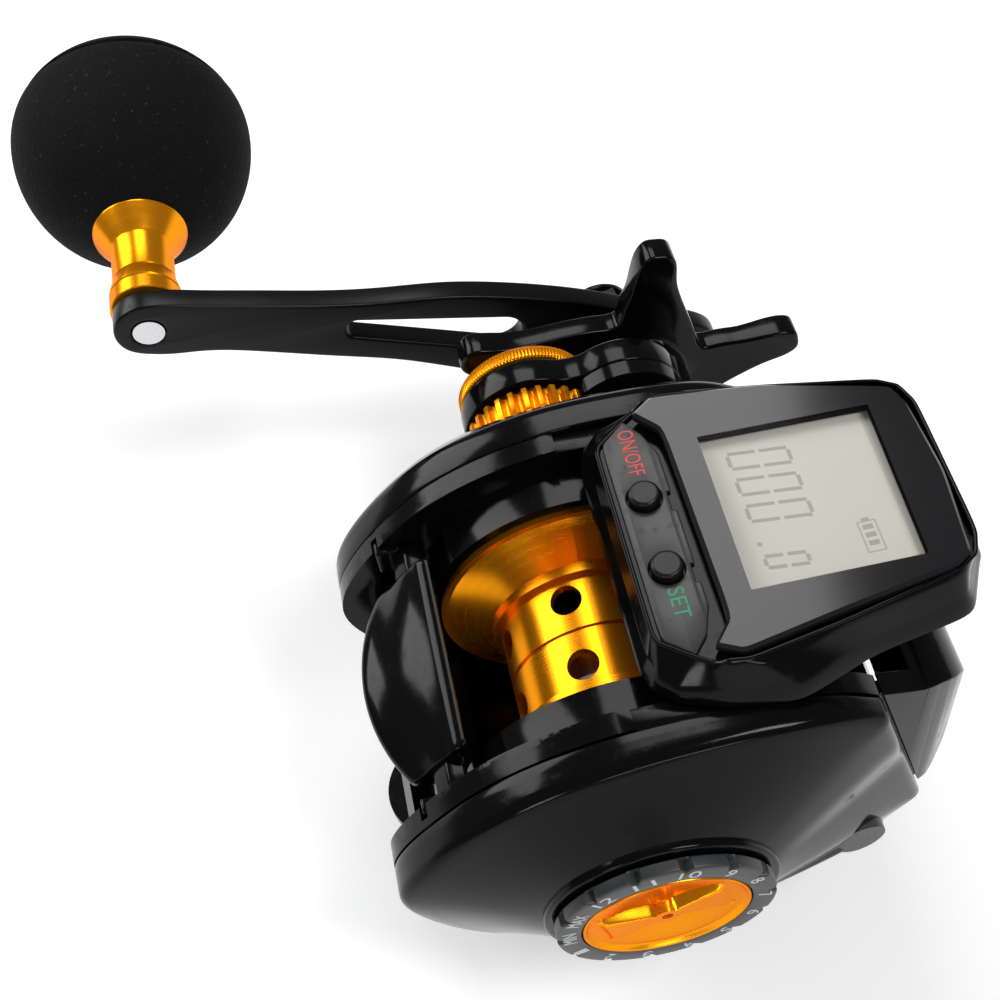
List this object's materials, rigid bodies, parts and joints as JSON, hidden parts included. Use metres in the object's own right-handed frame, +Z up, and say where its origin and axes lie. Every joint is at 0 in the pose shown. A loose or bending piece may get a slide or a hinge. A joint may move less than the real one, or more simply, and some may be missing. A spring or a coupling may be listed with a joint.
{
  "type": "digital baitcasting reel",
  "caption": "Low-profile baitcasting reel with a digital line counter over the line opening, star drag, a slotted crank with a ball grip, a thumb bar and a magnetic brake dial.",
  "frame": {"origin": "centre of the flat underside of the reel foot, under the spool's middle", "axes": "+X to the palm side along the spool axis, +Y forwards to the rod tip, +Z up away from the rod"},
  "size_m": [0.1412, 0.1054, 0.0617],
  "materials": {
    "black_body": "gloss black",
    "black_arm": "satin black",
    "black_metal": "gloss black",
    "black_steel": "blackened",
    "gold_metal": "orange-gold anodised",
    "aluminium": "turned",
    "steel": "bright",
    "brass": "machined",
    "magnet": "plated",
    "grey_plastic": "matt",
    "carbon": "woven carbon",
    "dial_print": "matt with printed scale",
    "foam": "fine closed-cell foam",
    "dark_glass": "clear over the display, black printed edge",
    "lcd": "pale reflective display",
    "board": "solder mask",
    "button_rubber": "moulded",
    "white_print": "printed white",
    "red_print": "printed red",
    "green_print": "printed green"
  },
  "bodies": {
    "body": {"frame": "black_body", "reel_foot": "black_metal", "foot_screws": "steel", "gear_side_cover": "black_body", "gear_cover_screws": "black_steel", "boss_plate": "black_body", "boss_plate_screws": "black_steel", "palm_side_cover": "black_body", "palm_lock_screw": "black_metal", "front_cover": "black_body", "palm_bearing": "steel", "gear_bearing": "steel", "pinion_bearing": "steel", "one_way_bearing": "steel", "guide_rod": "steel", "tension_shim": "grey_plastic", "counter_housing": "black_body", "counter_base": "black_body", "counter_glass": "dark_glass", "lcd_panel": "lcd", "circuit_board": "board", "coin_cell": "steel"},
    "spool": {"spool": "gold_metal", "spool_shaft": "steel", "clutch_pin": "steel", "sensor_magnets": "magnet", "brake_rotor": "aluminium"},
    "pinion": {"pinion_gear": "brass"},
    "crank": {"drive_shaft": "steel", "shaft_gear": "grey_plastic", "main_gear": "brass", "drag_washer": "carbon", "drag_plate": "steel", "clutch_sleeve": "steel", "drag_springs": "steel", "handle_spacer": "black_metal", "handle_arm": "black_arm", "handle_nut": "black_metal", "nut_retainer": "black_metal", "retainer_screw": "steel", "knob_pin": "steel"},
    "star": {"star_drag": "black_body"},
    "knob": {"knob_stem": "gold_metal", "knob_bearings": "steel", "eva_grip": "foam", "knob_cap": "black_metal"},
    "worm": {"worm_shaft": "steel", "worm_gear": "grey_plastic"},
    "yoke": {"clutch_yoke": "grey_plastic"},
    "thumb_bar": {"thumb_bar": "black_body"},
    "line_guide": {"line_guide": "black_body", "guide_eye": "steel"},
    "tension_knob": {"tension_wheel": "gold_metal", "tension_ring": "gold_metal"},
    "brake_dial": {"dial_ring": "dial_print", "dial_cap": "gold_metal"},
    "carrier": {"magnet_carrier": "grey_plastic", "brake_magnets": "magnet"},
    "power_button": {"power_button": "button_rubber"},
    "set_button": {"set_button": "button_rubber"}
  },
  "joints": [
    {"name": "handle_spin", "type": "hinge", "parent": "body", "child": "crank", "pos_m": [-0.03, 0.015, 0.0128], "axis": [-1, 0, 0], "continuous": true},
    {"name": "spool_spin", "type": "hinge", "parent": "body", "child": "spool", "pos_m": [0, 0, 0.0225], "axis": [-1, 0, 0], "continuous": true},
    {"name": "pinion_spin", "type": "hinge", "parent": "yoke", "child": "pinion", "pos_m": [-0.022, 0, 0.0225], "axis": [-1, 0, 0], "continuous": true},
    {"name": "worm_spin", "type": "hinge", "parent": "body", "child": "worm", "pos_m": [0, 0.023, 0.0215], "axis": [-1, 0, 0], "continuous": true},
    {"name": "knob_spin", "type": "hinge", "parent": "crank", "child": "knob", "pos_m": [-0.09, -0.0474, 0.0333], "axis": [-1, 0, 0], "continuous": true},
    {"name": "star_turn", "type": "hinge", "parent": "crank", "child": "star", "pos_m": [-0.05, 0.015, 0.0128], "axis": [-1, 0, 0], "range_deg": [-180, 180]},
    {"name": "tension_turn", "type": "hinge", "parent": "body", "child": "tension_knob", "pos_m": [-0.04, 0, 0.0225], "axis": [-1, 0, 0], "range_deg": [-180, 180]},
    {"name": "dial_turn", "type": "hinge", "parent": "body", "child": "brake_dial", "pos_m": [0.03, 0, 0.0225], "axis": [1, 0, 0], "range_deg": [-150, 150]},
    {"name": "magnet_slide", "type": "slide", "parent": "body", "child": "carrier", "axis": [-1, 0, 0], "range_m": [-0.0012, 0.0012]},
    {"name": "thumb_press", "type": "slide", "parent": "body", "child": "thumb_bar", "axis": [0, 0, -1], "range_m": [0, 0.003]},
    {"name": "yoke_slide", "type": "slide", "parent": "body", "child": "yoke", "axis": [-1, 0, 0], "range_m": [0, 0.0012]},
    {"name": "guide_slide", "type": "slide", "parent": "body", "child": "line_guide", "axis": [1, 0, 0], "range_m": [-0.008, 0.008]},
    {"name": "power_press", "type": "slide", "parent": "body", "child": "power_button", "axis": [0, 0, -1], "range_m": [0, 0.00035], "stiffness_N_per_m": 800, "springref_m": -0.0003},
    {"name": "set_press", "type": "slide", "parent": "body", "child": "set_button", "axis": [0, 0, -1], "range_m": [0, 0.00035], "stiffness_N_per_m": 800, "springref_m": -0.0003}
  ],
  "couplings": [
    {"joint": "spool_spin", "follows": "handle_spin", "ratio": -5},
    {"joint": "pinion_spin", "follows": "handle_spin", "ratio": -5},
    {"joint": "worm_spin", "follows": "handle_spin", "ratio": -1},
    {"joint": "magnet_slide", "follows": "dial_turn", "m_per_rad": 0.000458},
    {"joint": "yoke_slide", "follows": "thumb_press", "ratio": 0.4}
  ]
}
